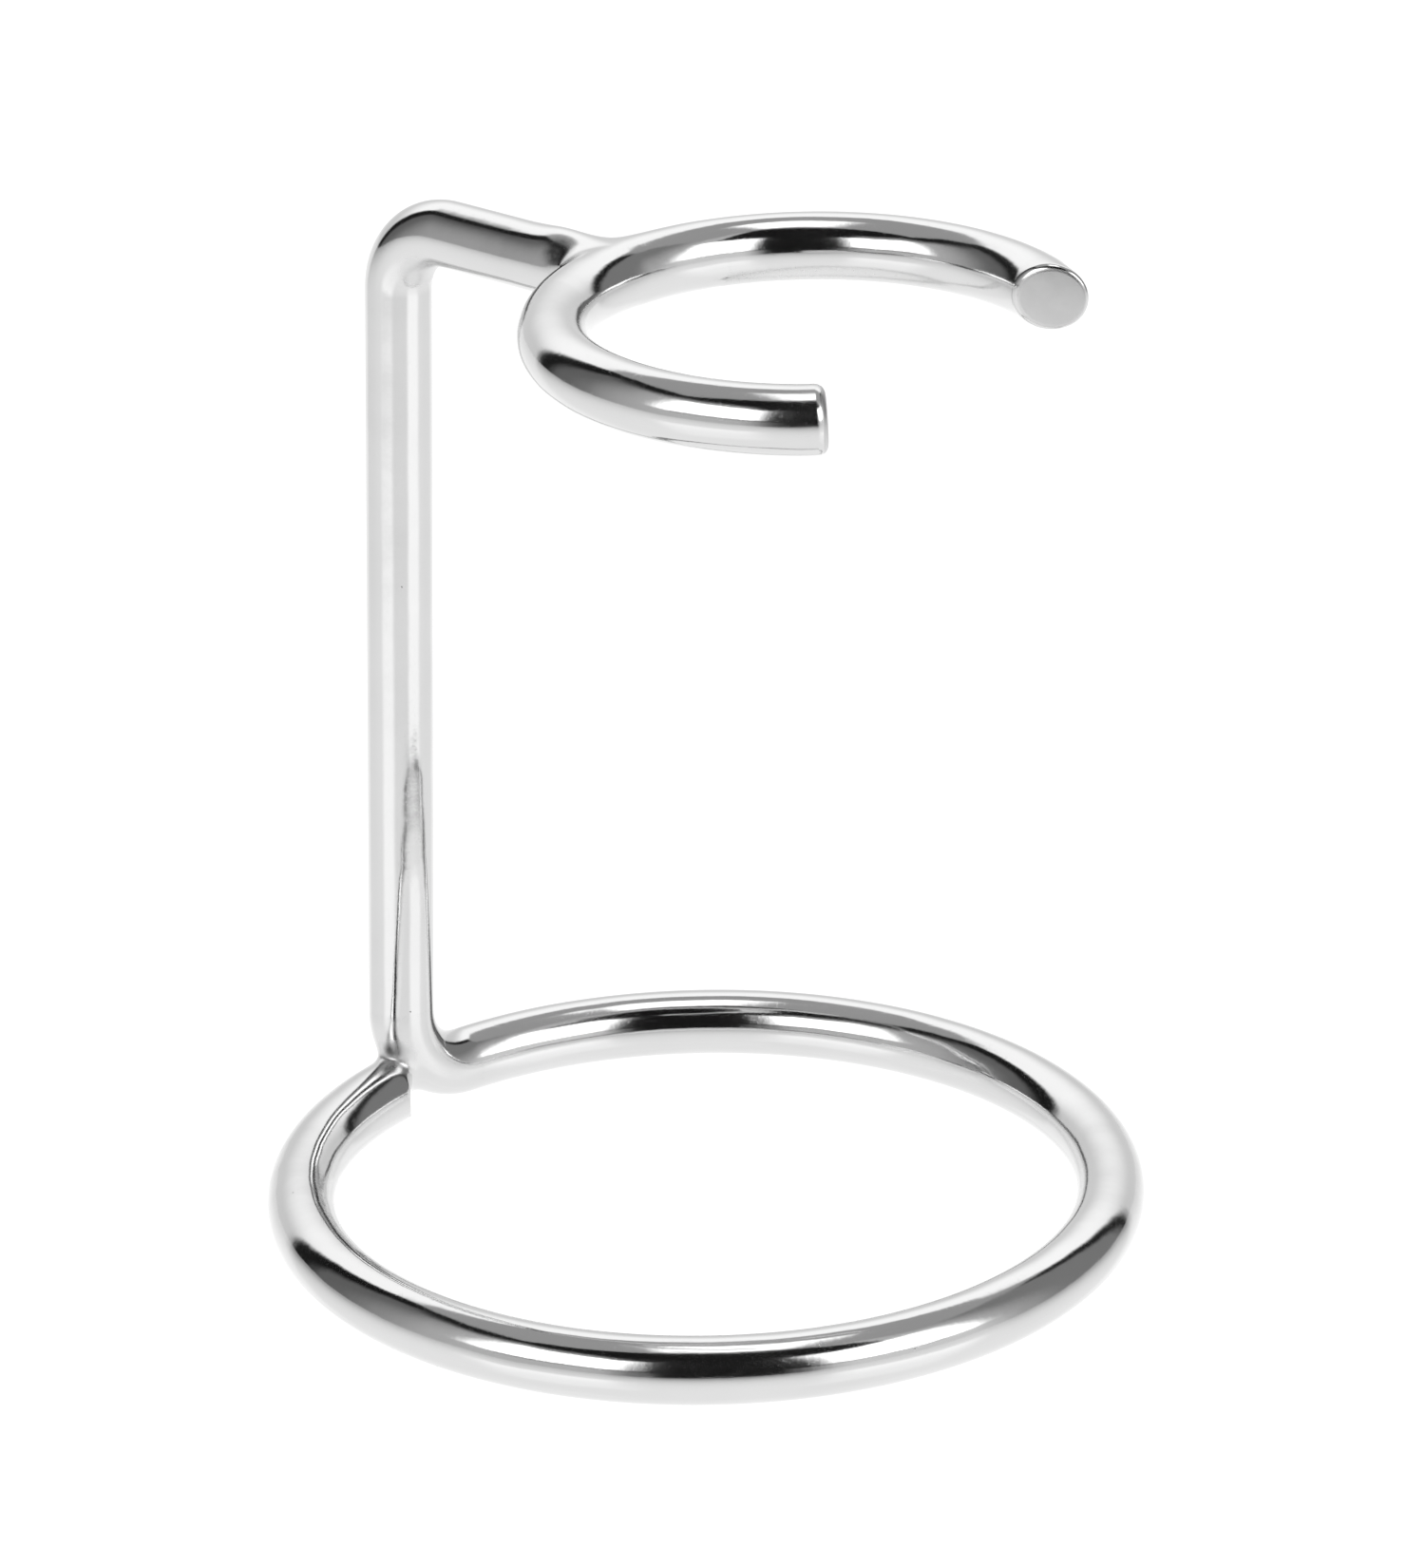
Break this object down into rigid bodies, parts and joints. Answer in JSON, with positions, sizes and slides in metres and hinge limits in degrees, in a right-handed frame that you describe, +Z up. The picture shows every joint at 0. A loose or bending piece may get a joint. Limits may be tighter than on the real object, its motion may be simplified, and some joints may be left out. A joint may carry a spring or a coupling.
{
  "type": "shaving brush stand",
  "caption": "Chromed wire stand with a ring foot, an upright post and an open C-shaped holder that hangs a shaving brush bristles down.",
  "frame": {"origin": "centre of the foot ring, on the surface that the stand rests on", "axes": "+Z up; -Y is the front, from where the post stands at the back left; the holder's mouth opens towards +X and -Y"},
  "size_m": [0.0788, 0.0788, 0.09],
  "materials": {
    "polished_chrome": "mirror-bright chrome plate on steel rod, with faint drawing lines, hairline scratches and a few pits",
    "plated_weld": "chrome plate over weld metal that was ground and buffed, a little uneven"
  },
  "bodies": {
    "root": {"frame_rod": "polished_chrome", "holder_ring": "polished_chrome", "arm_weld": "plated_weld", "ring_weld": "plated_weld"}
  },
  "joints": []
}
